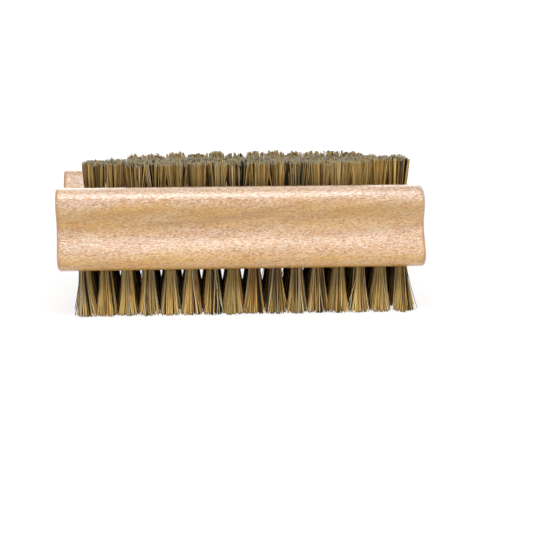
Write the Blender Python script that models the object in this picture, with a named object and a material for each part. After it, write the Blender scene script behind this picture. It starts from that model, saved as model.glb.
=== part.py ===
"""Two-sided wooden nail brush, standing on its long bristles.

One stock of beech carries a tuft field on each side. The lower field has long
tufts on a flat face, the upper field has short tufts in a trough between two
rounded lobes. Each object of tufts is one row across the brush: a slice of the
backing, the tuft roots that sit in the drilled holes, and the strands.

Frame: +X along the stock, -Y the front, +Z up, the origin under the middle of
the stock on the plane that the long bristles stand on. Lengths are metres.
"""
import math

import bmesh
import bpy
from mathutils import Matrix

# Stock, measured over its rounded outside.
STOCK_LENGTH = 0.0950
STOCK_WIDTH = 0.0400
STOCK_HEIGHT = 0.0217
END_ROUND = 0.0009

# Lobes along the two long sides, and the finger waist between them.
LOWER_LOBE_WIDTH = 0.0048
LOWER_LOBE_HEIGHT = 0.0039
UPPER_LOBE_WIDTH = 0.0038
UPPER_LOBE_HEIGHT = 0.0037
WAIST_DEPTH = 0.0022

# Trough in the upper side, open at both ends, and the rims beside it.
TROUGH_DEPTH = 0.0050
TROUGH_LEDGE = 0.0007
RIM_LAND = 0.0002
RIM_ROUND = 0.0018

# Drilled holes, the web between the two sides' holes, and the slices of backing.
HOLE_DIAMETER = 0.0032
HOLE_WEB = 0.0017
SLICE_THICKNESS = 0.0012
SLICE_MARGIN = 0.0005
END_MARGIN = 0.0020
CLEARANCE = 0.0003

# Lower field: long tufts on the flat face.
LOWER_PITCH_X = 0.00556
LOWER_PITCH_Y = 0.0060
LOWER_SHIFT_X = 0.00065
LONG_BRISTLE = 0.0127

# Upper field: short tufts in the trough. Its outer rows stop short of the ends.
UPPER_ROWS = 4
UPPER_PITCH_X = 0.00535
UPPER_PITCH_Y = 0.0046
UPPER_SHIFT_X = 0.0021
UPPER_OUTER_SKIP = 2
SHORT_BRISTLE_RISE = 0.0050

# Strands of one tuft: three-sided spikes that widen to their cut tips.
STRANDS_PER_TUFT = 3
STRAND_ROOT_GAP = 0.0003
STRAND_TIP_GAP = 0.0006
STRAND_FLARE = 0.10
STRAND_LEAN = 0.010
TIP_TRIM = 0.0005
TUFT_TURN = math.radians(137.5)

# Faces round each curve.
LOBE_STEPS = 6
WAIST_STEPS = 12
RIM_STEPS = 4
END_ROUND_STEPS = 2
HOLE_SIDES = 6
STRAND_SIDES = 3
WELD = 0.00001


def columns_that_fit(pitch, shift):
    """How many columns fit along the stock between its end margins."""
    return int((STOCK_LENGTH - 2.0 * abs(shift) - 2.0 * END_MARGIN) / pitch)


def field_half_width(rows, pitch):
    """Half the width of a field's slices, out to the margin past its holes."""
    return (rows - 1) * pitch / 2.0 + HOLE_DIAMETER / 2.0 + SLICE_MARGIN


STOCK_BOTTOM = LONG_BRISTLE
STOCK_TOP = STOCK_BOTTOM + STOCK_HEIGHT
TROUGH_FLOOR = STOCK_TOP - TROUGH_DEPTH
LOWER_FLAT_WIDTH = STOCK_WIDTH - 2.0 * LOWER_LOBE_WIDTH
RECESS_DEPTH = SLICE_THICKNESS + CLEARANCE
HOLE_DEPTH = (TROUGH_FLOOR - STOCK_BOTTOM - 2.0 * RECESS_DEPTH - HOLE_WEB) / 2.0
HOLE_RADIUS = HOLE_DIAMETER / 2.0
ROOT_RADIUS = HOLE_RADIUS - CLEARANCE
SLICE_BITE = SLICE_THICKNESS / 3.0

LOWER_SPARE_WIDTH = LOWER_FLAT_WIDTH - HOLE_DIAMETER - 2.0 * (SLICE_MARGIN + CLEARANCE)
LOWER_ROWS = int(LOWER_SPARE_WIDTH / LOWER_PITCH_Y) + 1
LOWER_COLUMNS = columns_that_fit(LOWER_PITCH_X, LOWER_SHIFT_X)
UPPER_COLUMNS = columns_that_fit(UPPER_PITCH_X, UPPER_SHIFT_X)
LOWER_HALF_WIDTH = field_half_width(LOWER_ROWS, LOWER_PITCH_Y)
UPPER_HALF_WIDTH = field_half_width(UPPER_ROWS, UPPER_PITCH_Y)


def remove_scene_objects():
    """Empty the scene of whatever it starts with."""
    for obj in list(bpy.data.objects):
        bpy.data.objects.remove(obj, do_unlink=True)


def new_collection(name):
    """A collection linked to the scene."""
    collection = bpy.data.collections.new(name)
    bpy.context.scene.collection.children.link(collection)
    return collection


def new_material(name, color, roughness):
    """A Principled BSDF of one linear colour."""
    material = bpy.data.materials.new(name)
    material.use_nodes = True
    shader = material.node_tree.nodes["Principled BSDF"]
    shader.inputs["Base Color"].default_value = (*color, 1.0)
    shader.inputs["Roughness"].default_value = roughness
    shader.inputs["Metallic"].default_value = 0.0
    material.diffuse_color = (*color, 1.0)
    return material


def new_object(name, mesh, collection):
    """An object for a mesh, in the given collection."""
    obj = bpy.data.objects.new(name, mesh)
    collection.objects.link(obj)
    return obj


def new_cutter(name, mesh, collection):
    """A tool object that only Boolean modifiers use."""
    obj = new_object(name, mesh, collection)
    obj.hide_render = True
    obj.display_type = "WIRE"
    return obj


def mesh_from(bm, name):
    """Turn a bmesh into mesh data with its faces pointing out."""
    bmesh.ops.recalc_face_normals(bm, faces=bm.faces)
    mesh = bpy.data.meshes.new(name)
    bm.to_mesh(mesh)
    bm.free()
    return mesh


def add_box(bm, low, high):
    """Add a box between two corners."""
    size = [b - a for a, b in zip(low, high)]
    centre = [(a + b) / 2.0 for a, b in zip(low, high)]
    matrix = Matrix.Translation(centre) @ Matrix.Diagonal((*size, 1.0))
    bmesh.ops.create_cube(bm, size=1.0, matrix=matrix)


def add_prism(bm, centre, radius, low, high, sides):
    """Add an upright prism of the given circumradius."""
    matrix = Matrix.Translation((centre[0], centre[1], (low + high) / 2.0))
    bmesh.ops.create_cone(
        bm, cap_ends=True, cap_tris=False, segments=sides,
        radius1=radius, radius2=radius, depth=high - low, matrix=matrix,
    )


def boolean(obj, tool, operation):
    """Add an exact Boolean modifier that uses a tool object."""
    modifier = obj.modifiers.new(operation.title(), "BOOLEAN")
    modifier.operation = operation
    modifier.solver = "EXACT"
    modifier.object = tool


def ellipse_arc(centre, size, start, end, steps):
    """Points of an ellipse arc, angles in degrees from +Y towards +Z."""
    points = []
    for i in range(steps + 1):
        angle = math.radians(start + (end - start) * i / steps)
        points.append((centre[0] + size[0] * math.cos(angle), centre[1] + size[1] * math.sin(angle)))
    return points


def waist_points(low, high, steps):
    """The waist between two crests, drawn in by one wave of a cosine."""
    points = []
    for i in range(1, steps):
        share = i / steps
        inset = WAIST_DEPTH * (1.0 - math.cos(2.0 * math.pi * share)) / 2.0
        points.append((STOCK_WIDTH / 2.0 - inset, low + (high - low) * share))
    return points


def rim_points(corner, outer, inner, steps):
    """A quadratic curve that rounds a sharp corner between two points."""
    points = []
    for i in range(steps + 1):
        t = i / steps
        points.append(tuple(
            (1.0 - t) ** 2 * a + 2.0 * t * (1.0 - t) * c + t ** 2 * b
            for a, c, b in zip(outer, corner, inner)
        ))
    return points


def stock_outline():
    """The stock's section in Y and Z, anticlockwise from its lower right."""
    side = STOCK_WIDTH / 2.0
    lower_crest = STOCK_BOTTOM + LOWER_LOBE_HEIGHT
    upper_crest = STOCK_TOP - UPPER_LOBE_HEIGHT
    mouth = (side - UPPER_LOBE_WIDTH - RIM_LAND - RIM_ROUND, STOCK_TOP)
    foot = (UPPER_HALF_WIDTH + CLEARANCE + TROUGH_LEDGE, TROUGH_FLOOR)
    wall = (foot[0] - mouth[0], foot[1] - mouth[1])
    wall_share = RIM_ROUND / math.hypot(*wall)
    rim_outer = (mouth[0] + RIM_ROUND, STOCK_TOP)
    rim_inner = (mouth[0] + wall[0] * wall_share, mouth[1] + wall[1] * wall_share)

    lower_size = (LOWER_LOBE_WIDTH, LOWER_LOBE_HEIGHT)
    upper_size = (UPPER_LOBE_WIDTH, UPPER_LOBE_HEIGHT)

    half = ellipse_arc((side - LOWER_LOBE_WIDTH, lower_crest), lower_size, -90.0, 0.0, LOBE_STEPS)
    half += waist_points(lower_crest, upper_crest, WAIST_STEPS)
    half += ellipse_arc((side - UPPER_LOBE_WIDTH, upper_crest), upper_size, 0.0, 90.0, LOBE_STEPS)
    half += rim_points(mouth, rim_outer, rim_inner, RIM_STEPS)
    half.append(foot)
    return half + [(-y, z) for y, z in reversed(half)]


def outline_solid(name, outline, thickness, collection):
    """Extrude a filled outline along X and return it as a welded mesh."""
    curve = bpy.data.curves.new(name, "CURVE")
    curve.dimensions = "2D"
    curve.fill_mode = "BOTH"
    curve.extrude = thickness / 2.0
    spline = curve.splines.new("POLY")
    spline.points.add(len(outline) - 1)
    for point, (y, z) in zip(spline.points, outline):
        point.co = (y, z, 0.0, 1.0)
    spline.use_cyclic_u = True
    guide = new_object(name + "_outline", curve, collection)
    graph = bpy.context.evaluated_depsgraph_get()
    graph.update()
    mesh = bpy.data.meshes.new_from_object(guide.evaluated_get(graph))
    bpy.data.objects.remove(guide, do_unlink=True)

    across_to_x = Matrix(((0, 0, 1, 0), (1, 0, 0, 0), (0, 1, 0, 0), (0, 0, 0, 1)))
    bm = bmesh.new()
    bm.from_mesh(mesh)
    bmesh.ops.transform(bm, matrix=across_to_x, verts=bm.verts)
    bmesh.ops.remove_doubles(bm, verts=bm.verts, dist=WELD)
    return bm


def round_ends(bm, half_length):
    """Make each end one face and round the edge round it."""
    for sign in (-1.0, 1.0):
        cap = [f for f in bm.faces if all(abs(v.co.x - sign * half_length) < WELD for v in f.verts)]
        bmesh.ops.dissolve_faces(bm, faces=cap)
    edges = [
        e for e in bm.edges
        if all(abs(abs(v.co.x) - half_length) < WELD for v in e.verts)
    ]
    bmesh.ops.bevel(
        bm, geom=edges, offset=END_ROUND, offset_type="OFFSET",
        segments=END_ROUND_STEPS, profile=0.5, affect="EDGES", clamp_overlap=True,
    )


def tuft_places(columns, pitch_x, shift_x, rows, pitch_y, column, skip_outer):
    """Centres of one column's tufts; the outer rows can be left out."""
    x = shift_x + (column - (columns - 1) / 2.0) * pitch_x
    places = []
    for row in range(rows):
        if skip_outer and row in (0, rows - 1):
            continue
        places.append((x, (row - (rows - 1) / 2.0) * pitch_y))
    return places


def lower_places(column):
    """Tuft centres of one column of the lower field."""
    return tuft_places(LOWER_COLUMNS, LOWER_PITCH_X, LOWER_SHIFT_X, LOWER_ROWS, LOWER_PITCH_Y, column, False)


def upper_places(column):
    """Tuft centres of one column of the upper field."""
    skip = not UPPER_OUTER_SKIP <= column < UPPER_COLUMNS - UPPER_OUTER_SKIP
    return tuft_places(UPPER_COLUMNS, UPPER_PITCH_X, UPPER_SHIFT_X, UPPER_ROWS, UPPER_PITCH_Y, column, skip)


def add_field_recess(bm, columns, pitch_x, shift_x, half_width, low, high):
    """Add the box that clears a field's slices all round."""
    half_length = columns * pitch_x / 2.0 + CLEARANCE / 2.0
    add_box(
        bm,
        (shift_x - half_length, -half_width - CLEARANCE, low),
        (shift_x + half_length, half_width + CLEARANCE, high),
    )


def make_stock(material, parts, cutters):
    """The beech stock with its recesses and its blind drilled holes."""
    bm = outline_solid("beech_stock", stock_outline(), STOCK_LENGTH, parts)
    round_ends(bm, STOCK_LENGTH / 2.0)
    stock = new_object("beech_stock", mesh_from(bm, "beech_stock"), parts)
    stock.data.materials.append(material)

    over = STOCK_HEIGHT
    recesses = bmesh.new()
    add_field_recess(
        recesses, LOWER_COLUMNS, LOWER_PITCH_X, LOWER_SHIFT_X, LOWER_HALF_WIDTH,
        STOCK_BOTTOM - over, STOCK_BOTTOM + RECESS_DEPTH,
    )
    add_field_recess(
        recesses, UPPER_COLUMNS, UPPER_PITCH_X, UPPER_SHIFT_X, UPPER_HALF_WIDTH,
        TROUGH_FLOOR - RECESS_DEPTH, TROUGH_FLOOR + over,
    )
    boolean(stock, new_cutter("recess_cutter", mesh_from(recesses, "recess_cutter"), cutters), "DIFFERENCE")

    holes = bmesh.new()
    overlap = RECESS_DEPTH / 2.0
    for column in range(LOWER_COLUMNS):
        for place in lower_places(column):
            low = STOCK_BOTTOM + RECESS_DEPTH
            add_prism(holes, place, HOLE_RADIUS, low - overlap, low + HOLE_DEPTH, HOLE_SIDES)
    for column in range(UPPER_COLUMNS):
        for place in upper_places(column):
            high = TROUGH_FLOOR - RECESS_DEPTH
            add_prism(holes, place, HOLE_RADIUS, high - HOLE_DEPTH, high + overlap, HOLE_SIDES)
    boolean(stock, new_cutter("hole_cutter", mesh_from(holes, "hole_cutter"), cutters), "DIFFERENCE")
    return stock


def strand_section(reach, gap):
    """Offset and circumradius of a strand in a tuft of the given reach.

    The strands are equilateral triangles with one corner towards the tuft's
    axis. Neighbouring inner corners lie a gap apart, and the outer corners
    lie on the circle of the tuft's reach.
    """
    inner = gap / (2.0 * math.sin(math.pi / STRANDS_PER_TUFT))
    radius = (math.sqrt(12.0 * reach ** 2 - 3.0 * inner ** 2) - 3.0 * inner) / 6.0
    return inner + radius, radius


def add_strand(bm, place, turn, root_z, tip_z, tip_reach):
    """One strand from the backing to its tip, past the plane of the trim."""
    length = abs(tip_z - root_z)
    direction = math.copysign(1.0, tip_z - root_z)
    lean = STRAND_LEAN * length
    root = strand_section(ROOT_RADIUS, STRAND_ROOT_GAP)
    tip = strand_section(tip_reach, STRAND_TIP_GAP)
    made = bmesh.ops.create_cone(
        bm, cap_ends=True, cap_tris=False, segments=STRAND_SIDES,
        radius1=1.0, radius2=1.0, depth=1.0,
    )["verts"]
    for vert in made:
        at_tip = (vert.co.z > 0.0) == (direction > 0.0)
        offset, radius = tip if at_tip else root
        out = offset - vert.co.y * radius
        side = vert.co.x * radius
        x = place[0] + out * math.cos(turn) - side * math.sin(turn)
        y = place[1] + out * math.sin(turn) + side * math.cos(turn)
        z = root_z - direction * SLICE_BITE
        if at_tip:
            x += lean * math.sin(turn * 7.0)
            y += lean * math.cos(turn * 7.0)
            z = tip_z + direction * TIP_TRIM
        vert.co = (x, y, z)


def flared_reach(root_z, tip_z, pitch):
    """A tuft's reach at its tips, kept clear of the next tuft's reach."""
    length = abs(tip_z - root_z)
    room = pitch / 2.0 - STRAND_ROOT_GAP / 2.0 - STRAND_LEAN * length
    return min(ROOT_RADIUS + STRAND_FLARE * length, room)


def trim_level(bm, tip_z, direction):
    """Cut every strand flat on the plane of the tips."""
    geometry = bm.verts[:] + bm.edges[:] + bm.faces[:]
    cut = bmesh.ops.bisect_plane(
        bm, geom=geometry, dist=WELD / 10.0, plane_co=(0.0, 0.0, tip_z),
        plane_no=(0.0, 0.0, direction), clear_outer=True,
    )
    edges = [e for e in cut["geom_cut"] if isinstance(e, bmesh.types.BMEdge)]
    bmesh.ops.holes_fill(bm, edges=edges, sides=0)


def make_tufts(name, places, first_turn, half_width, pitch, face_z, tip_z, material, parts, cutters):
    """One column of tufts: a slice of backing, its roots and its strands."""
    direction = math.copysign(1.0, tip_z - face_z)
    back_z = face_z - direction * SLICE_THICKNESS
    root_end = back_z - direction * HOLE_DEPTH
    x = places[0][0]
    half_length = (pitch[0] - CLEARANCE) / 2.0
    slice_bm = bmesh.new()
    add_box(
        slice_bm,
        (x - half_length, -half_width, min(face_z, back_z)),
        (x + half_length, half_width, max(face_z, back_z)),
    )
    column = new_object(name, mesh_from(slice_bm, name), parts)
    column.data.materials.append(material)

    strands = bmesh.new()
    reach = flared_reach(face_z, tip_z, min(pitch))
    for i, place in enumerate(places):
        for k in range(STRANDS_PER_TUFT):
            turn = first_turn + i * TUFT_TURN + 2.0 * math.pi * k / STRANDS_PER_TUFT
            add_strand(strands, place, turn, face_z, tip_z, reach)
    trim_level(strands, tip_z, direction)
    for place in places:
        ends = sorted((root_end, back_z + direction * SLICE_BITE))
        add_prism(strands, place, ROOT_RADIUS, ends[0], ends[1], HOLE_SIDES)
    tool = new_cutter(name + "_strands", mesh_from(strands, name + "_strands"), cutters)
    boolean(column, tool, "UNION")
    return column


def make_fields(material, parts, cutters):
    """Both tuft fields, one object for each column of tufts."""
    for column in range(LOWER_COLUMNS):
        make_tufts(
            "lower_tufts_%02d" % (column + 1), lower_places(column), column * TUFT_TURN,
            LOWER_HALF_WIDTH, (LOWER_PITCH_X, LOWER_PITCH_Y), STOCK_BOTTOM, 0.0,
            material, parts, cutters,
        )
    for column in range(UPPER_COLUMNS):
        make_tufts(
            "upper_tufts_%02d" % (column + 1), upper_places(column), column * TUFT_TURN,
            UPPER_HALF_WIDTH, (UPPER_PITCH_X, UPPER_PITCH_Y), TROUGH_FLOOR,
            STOCK_TOP + SHORT_BRISTLE_RISE, material, parts, cutters,
        )


def main():
    """Build the whole brush."""
    remove_scene_objects()
    parts = new_collection("nail_brush")
    cutters = new_collection("cutters")
    beech = new_material("beech", (0.80, 0.56, 0.34), 0.45)
    bristle = new_material("bristle", (0.36, 0.24, 0.10), 0.60)
    make_stock(beech, parts, cutters)
    make_fields(bristle, parts, cutters)


main()
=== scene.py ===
"""Nail brush in beech and natural bristle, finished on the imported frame.

The stock is one moulded and sanded piece of beech with drilled holes. Each
column of tufts across the brush is one piece of many fine bristles, which
stands for the frame's plain tufts of that column. Lengths are metres, +X runs
along the stock, -Y is the front and +Z is up.
"""
import math
from typing import NamedTuple

import bpy
import numpy as np
from bpy.props import FloatProperty, FloatVectorProperty, IntProperty, PointerProperty
from mathutils import Matrix, Vector


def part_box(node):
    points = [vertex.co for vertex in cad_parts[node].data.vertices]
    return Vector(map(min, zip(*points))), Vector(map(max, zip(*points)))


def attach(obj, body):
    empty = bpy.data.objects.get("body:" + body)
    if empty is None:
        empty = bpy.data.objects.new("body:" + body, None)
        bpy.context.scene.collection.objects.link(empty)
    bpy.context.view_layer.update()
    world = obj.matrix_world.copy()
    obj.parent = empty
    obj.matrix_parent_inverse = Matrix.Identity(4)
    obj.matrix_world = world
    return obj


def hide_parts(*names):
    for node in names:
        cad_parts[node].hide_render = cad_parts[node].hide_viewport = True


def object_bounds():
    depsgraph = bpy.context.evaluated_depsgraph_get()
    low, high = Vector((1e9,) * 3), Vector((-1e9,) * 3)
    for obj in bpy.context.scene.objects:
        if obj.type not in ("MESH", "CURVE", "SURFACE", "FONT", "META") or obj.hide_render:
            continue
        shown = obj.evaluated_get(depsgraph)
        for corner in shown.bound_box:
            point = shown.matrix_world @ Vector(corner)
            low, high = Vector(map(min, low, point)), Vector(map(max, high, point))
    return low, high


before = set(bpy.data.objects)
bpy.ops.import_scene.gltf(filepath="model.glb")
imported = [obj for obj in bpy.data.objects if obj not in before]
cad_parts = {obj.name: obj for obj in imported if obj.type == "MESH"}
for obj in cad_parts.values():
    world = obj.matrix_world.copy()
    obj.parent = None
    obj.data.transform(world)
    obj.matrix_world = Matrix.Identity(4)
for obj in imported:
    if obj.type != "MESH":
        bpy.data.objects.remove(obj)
CAD_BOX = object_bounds()

bl_info = {
    "name": "Nail Brush",
    "version": (1, 0, 0),
    "blender": (4, 5, 0),
    "location": "3D View > Sidebar > Nail Brush",
    "description": "Makes a two-sided wooden nail brush with full bristle tufts",
    "category": "Object",
}

MM = 0.001

STOCK_LOW, STOCK_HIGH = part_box("beech_stock")
LOWER_COLUMNS = sorted(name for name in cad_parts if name.startswith("lower_tufts"))
UPPER_COLUMNS = sorted(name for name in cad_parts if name.startswith("upper_tufts"))

# Rows of tufts in a column. The short field has fewer in its end columns.
LOWER_ROWS = 5
UPPER_ROWS = 4
UPPER_END_ROWS = 2
UPPER_END_COLUMNS = 2

# The first seed of each field. Each column has its own.
LOWER_SEED = 100
UPPER_SEED = 200

# Where a bristle's rings lie along it, and the painted shade and light at each
# ring: darker near the stock, which shades the roots, brighter than the
# bristle's own colour towards the tip, and darker again at the very tip.
RING_SHARES = (0.0, 0.14, 0.32, 0.54, 0.78, 0.955, 1.0)
LOWER_PAINTED_SHADES = (0.20, 0.68, 0.61, 0.96, 1.28, 1.40, 0.78)
UPPER_PAINTED_SHADES = (0.26, 0.38, 0.57, 0.72, 0.98, 0.90, 0.62)

# How deep in its hole a bristle starts.
ROOT_DEPTH = 1.5 * MM

# How bristles are strewn, in shares of the tuft's radius: the scatter of roots
# and tips, and the clumps that tips gather to.
ROOT_SCATTER = 0.04
TIP_SCATTER = 0.06
CLUMP_COUNT = 13
CLUMP_SPREAD = 0.95
CLUMP_SCATTER = 0.10

# How many bristles stray outwards, how many cross over the tuft's outside and
# by how many radians they do, and a radius just outside the rim.
STRAY_SHARE = 0.04
CROSSING_SHARE = 0.05
CROSSING_SWING = 0.9
JUST_OUTSIDE = 1.05

# How much the tufts' leans, the flares' powers, the bristles' bows and their
# thicknesses vary.
LEAN_SCATTER = 0.12 * MM
BEND_RANGE = (0.85, 1.35)
SWAY = 0.08 * MM
THICKNESS_RANGE = (0.65, 1.25)

# A tone runs from 0, dark, to 1, pale. It adds up a clump's part, a bristle's
# own and a tuft's, and is spread about the middle. Only pale bristles pass the
# most, and crossing ones are often pale.
CLUMP_TONE = 0.36
OWN_TONE = 0.56
TUFT_TONE_RANGE = (-0.12, 0.14)
MIDDLE_TONE = 0.46
MOST_TONE = 0.88
PALE_RANGE = (0.90, 1.0)
PALE_SHARE = 0.04
PALE_CROSSING_SHARE = 0.35

# How bright the clumps and the single bristles are.
CLUMP_GLOW_RANGE = (0.84, 1.12)
OWN_GLOW_RANGE = (0.74, 1.14)

# How uneven the cut is, in shares of the tuft's trim, and up to how many tip
# radii out its dome falls.
CLUMP_TRIM = 0.6
TUFT_TRIM = 0.3
OWN_TRIM = 0.6
DOME_REACH = 1.3

# How many bristles are broken short or stand proud, by how many millimetres,
# and the most that one may stand proud.
BROKEN_SHARE = 0.04
BROKEN_MM = (0.5, 3.0)
PROUD_SHARE = 0.015
PROUD_MM = (0.2, 0.9)
MOST_PROUD = 1.0 * MM

# How many bristles show a clean cut end, and how grey it is.
CLEAN_SHARE = 0.62
CLEAN_RANGE = (0.6, 1.0)

# A Mix node's sockets for colours go by number, because their names repeat.
MIX_FACTOR, MIX_FIRST, MIX_SECOND, MIX_RESULT = 0, 6, 7, 2
WHITE = (1.0, 1.0, 1.0, 1.0)


def linear(hex_colour):
    """An sRGB hex colour as linear red, green and blue."""
    shares = [int(hex_colour[i:i + 2], 16) / 255.0 for i in (1, 3, 5)]
    return tuple(c / 12.92 if c <= 0.04045 else ((c + 0.055) / 1.055) ** 2.4 for c in shares)


def length(name, description, default):
    """A property that holds a length."""
    return FloatProperty(name=name, description=description, default=default, unit="LENGTH", precision=5)


def degrees(name, description, default):
    """A property that holds an angle, given in degrees."""
    return FloatProperty(name=name, description=description, default=math.radians(default), subtype="ANGLE")


def number(name, description, default, unit="NONE"):
    """A property that holds any other number."""
    return FloatProperty(name=name, description=description, default=default, unit=unit)


def colour(name, description, hex_colour):
    """A property that holds a colour, given as an sRGB hex value."""
    return FloatVectorProperty(
        name=name, description=description, default=linear(hex_colour),
        subtype="COLOR", size=3, min=0.0, max=1.0,
    )


class StockSettings(bpy.types.PropertyGroup):
    """Sizes of the moulded stock."""

    lower_lobe_width: length("Lower lobe width", "Width of a lower lobe's rounding", 4.8 * MM)
    lower_lobe_height: length("Lower lobe height", "Height of a lower lobe's rounding", 3.9 * MM)
    upper_lobe_width: length("Upper lobe width", "Width of an upper lobe's rounding", 3.8 * MM)
    upper_lobe_height: length("Upper lobe height", "Height of an upper lobe's rounding", 3.7 * MM)
    waist_depth: length("Waist depth", "How far the finger waist is drawn in", 2.2 * MM)
    trough_depth: length("Trough depth", "Depth of the trough in the upper side", 5.0 * MM)
    trough_half_width: length("Trough half width", "Half the width of the trough's floor", 10.0 * MM)
    rim_land: length("Rim land", "Flat left on top between lobe and trough", 0.2 * MM)
    rim_round: length("Rim rounding", "Reach of the rounding at the trough's mouth", 1.8 * MM)
    left_top_round: length("Left top rounding", "Radius sanded on the left end's upper edge", 0.70 * MM)
    left_foot_round: length("Left foot rounding", "Radius sanded on the left end's lower edge", 0.95 * MM)
    right_top_round: length("Right top rounding", "Radius sanded on the right end's upper edge", 1.8 * MM)
    right_foot_round: length("Right foot rounding", "Radius sanded on the right end's lower edge", 0.9 * MM)
    right_slant: length("Right slant", "How far the sawn right end leans in from foot to top", 0.8 * MM)
    hole_diameter: length("Hole diameter", "Drilled holes that take the tufts", 3.2 * MM)
    hole_depth: length("Hole depth", "Depth of the drilled holes", 6.0 * MM)


class BeechSettings(bpy.types.PropertyGroup):
    """Colours of the sanded beech."""

    ground: colour("Ground", "Tan of the early wood", "#DEA83C")
    blush: colour("Blush", "Paler figure", "#E8BE7C")
    # Painted sheen: a pale pink laid where the lobes face the lamps, standing in for their gloss.
    painted_sheen: colour("Rubbed", "Pinkish wood where sanding and hands rub most", "#D2B6C2")
    ring: colour("Ring", "Late wood of a growth ring", "#AE7E24")
    fibre: colour("Fibre", "Fine dark fibres and vessel lines", "#A07838")
    # Painted light: the down-facing lower edge is laid a lighter, yellower tan than the lamps give it.
    edge: colour("Edge", "Yellower tan along the lower edge", "#EAA820")
    fleck: colour("Fleck", "Short brown rays", "#AC6A26")
    dent: colour("Dent", "Orange-brown of the dents between fibres", "#B06C2C")
    # Painted glints: cream specks where cut fibres would catch the lamps.
    painted_glint: colour("Gleam", "Cream of cut fibres that catch the light", "#F6EAE2")
    pore: colour("Pore", "Dark open pores", "#78481A")
    end_edge: colour("End edge", "Burnished end grain", "#C8863C")
    end_ring: colour("End ring", "Late wood in the end grain", "#9C6836")


class BristleSettings(bpy.types.PropertyGroup):
    """Sizes and colours of the bristles."""

    lower_count: IntProperty(name="Lower count", description="Bristles in a long tuft", default=220, min=1)
    upper_count: IntProperty(name="Upper count", description="Bristles in a short tuft", default=200, min=1)
    diameter: length("Diameter", "Thickness of a common bristle", 0.255 * MM)
    outer_root_radius: length("Outer root radius", "Radius at the hole of an outer row's tuft", 1.25 * MM)
    inner_root_radius: length("Inner root radius", "Radius at the hole of an inner row's tuft", 1.32 * MM)
    outer_tip_radius: length("Outer tip radius", "Tip radius of a long tuft in the outer rows", 2.75 * MM)
    inner_tip_radius: length("Inner tip radius", "Tip radius of a long tuft in the inner rows", 3.4 * MM)
    upper_root_radius: length("Upper root radius", "Half a short tuft's width in its hole", 1.45 * MM)
    upper_tip_radius: length("Upper tip radius", "Tip radius of a short tuft", 2.95 * MM)
    back_tip_radius: length("Back tip radius", "Tip radius of a short tuft in the back row", 2.55 * MM)
    lower_row_pitch: length("Lower row pitch", "Distance between rows of long tufts", 6.0 * MM)
    lower_skew: length("Lower skew", "How far right of the row in front each row is drilled", 0.20 * MM)
    upper_row_pitch: length("Upper row pitch", "Distance between rows of short tufts", 4.6 * MM)
    outer_bend: number("Outer bend", "Power of an outer long tuft's flare", 1.35)
    inner_bend: number("Inner bend", "Power of an inner long tuft's flare", 1.15)
    upper_outer_bend: number("Upper outer bend", "Power of an outer short tuft's flare", 0.65)
    upper_inner_bend: number("Upper inner bend", "Power of an inner short tuft's flare", 0.42)
    lower_trim: length("Lower trim", "How unevenly the long tips are trimmed", 0.10 * MM)
    upper_trim: length("Upper trim", "How unevenly the short tips are trimmed", 0.25 * MM)
    back_trim: length("Back trim", "How unevenly the back row's tips are trimmed", 0.55 * MM)
    back_rise: length("Back rise", "How far the back row of short tufts stands higher", 0.75 * MM)
    crown: length("Crown", "How much lower the short tufts are cut at the left end", 0.65 * MM)
    right_rise: length("Right rise", "How much higher the short tufts are cut at the right end", 0.25 * MM)
    dark: colour("Dark bristle", "Darkest of the natural bristles", "#24241A")
    brown: colour("Brown bristle", "Golden-brown bristles", "#B48244")
    golden: colour("Golden bristle", "Most of the bristles", "#E6C274")
    khaki: colour("Khaki bristle", "Duller grey-brown bristles", "#BEA66A")
    pale: colour("Pale bristle", "Nearly white bristles", "#F4E6C4")
    cut_end: colour("Cut end", "Grey of the trimmed ends", "#A8ACA0")


class StageSettings(bpy.types.PropertyGroup):
    """Camera, lamps and floor."""

    camera_place: FloatVectorProperty(
        name="Camera place", description="Where the camera stands", size=3,
        default=(-19.7 * MM, -365.0 * MM, 90.5 * MM), subtype="TRANSLATION", unit="LENGTH",
    )
    camera_turn: degrees("Camera turn", "Turn about the upright", -4.26)
    camera_dip: degrees("Camera dip", "Angle below the horizontal", 12.45)
    camera_roll: degrees("Camera roll", "Roll about the line of sight", 0.065)
    lens: number("Lens", "Focal length on a 36 mm sensor", 93.0, "CAMERA")
    overhead_power: number("Overhead power", "Watts of the overhead softbox", 0.65, "POWER")
    front_power: number("Front power", "Watts of the softbox in front", 1.75, "POWER")
    side_power: number("Side power", "Watts of each softbox at the side", 1.40, "POWER")
    rear_power: number("Rear power", "Watts of the softbox behind", 1.08, "POWER")
    ambient: number("Ambient", "Strength of the room's own light", 0.24)
    floor: colour("Floor", "Pale floor as it lights the brush", "#E1E1E1")


def opaque(shade):
    """A linear colour with full alpha."""
    return (*shade, 1.0)


def add_node(tree, kind, sockets=None, stops=None, **settings):
    """Add a node, set its options and colour stops, and set its sockets or link
    them: to a socket, or to the first output of a node."""
    node = tree.nodes.new(kind)
    for name, value in settings.items():
        setattr(node, name, value)
    for i, (place, shade) in enumerate(stops or []):
        ramp = node.color_ramp.elements
        stop = ramp[i] if i < len(ramp) else ramp.new(place)
        stop.position = place
        stop.color = opaque(shade)
    for key, value in (sockets or {}).items():
        if isinstance(value, bpy.types.Node):
            value = value.outputs[0]
        if isinstance(value, bpy.types.NodeSocket):
            tree.links.new(value, node.inputs[key])
        else:
            node.inputs[key].default_value = value
    return node


def new_material(name):
    """An empty node material and its tree."""
    material = bpy.data.materials.new(name)
    material.use_nodes = True
    material.node_tree.nodes.clear()
    return material, material.node_tree


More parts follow.
